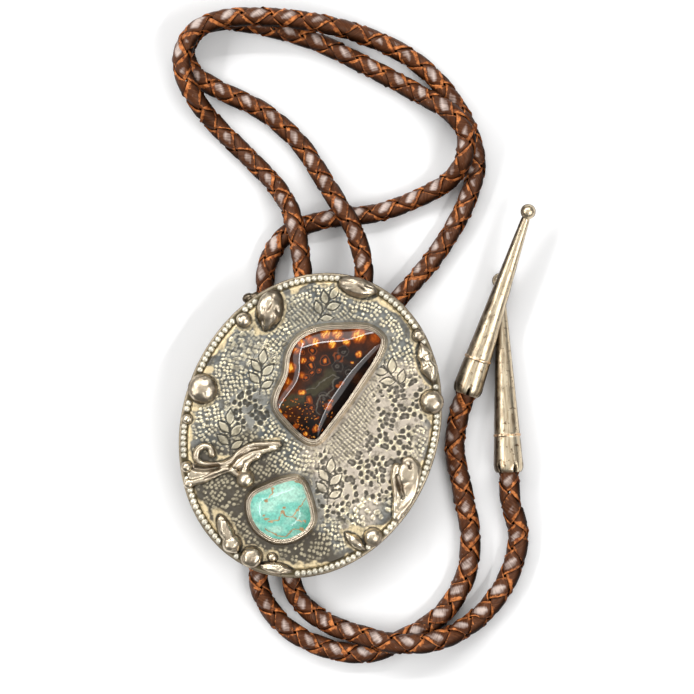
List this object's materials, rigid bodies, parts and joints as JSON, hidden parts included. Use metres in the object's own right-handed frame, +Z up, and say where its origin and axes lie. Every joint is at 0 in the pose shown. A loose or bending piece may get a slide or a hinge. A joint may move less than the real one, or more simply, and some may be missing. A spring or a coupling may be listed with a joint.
{
  "type": "bolo tie",
  "caption": "Bolo tie laid flat: oval silver slide with an amber and a turquoise stone, beaded edge and cast ornament, on a looped braided leather cord with conical metal tips.",
  "frame": {"origin": "on the supporting surface, below the middle of the slide", "axes": "+Z up, out of the slide's decorated face; +Y across the surface towards the neck loop, up in the picture; +X to the right in the picture"},
  "size_m": [0.1058, 0.1928, 0.0195],
  "materials": {
    "slide_silver": "worn, darkened silver with bright raised parts",
    "amber": "polished dark amber with glowing orange inclusions",
    "turquoise": "polished turquoise with tan matrix",
    "clip_silver": "plain satin silver",
    "leather": "braided leather, satin, with raw edges",
    "tip_silver": "worn silver, warm grey"
  },
  "bodies": {
    "root": {"slide_plate": "slide_silver", "amber_stone": "amber", "turquoise_stone": "turquoise", "cord_clip": "clip_silver", "cord": "leather", "tip_left": "tip_silver", "tip_right": "tip_silver"}
  },
  "joints": []
}
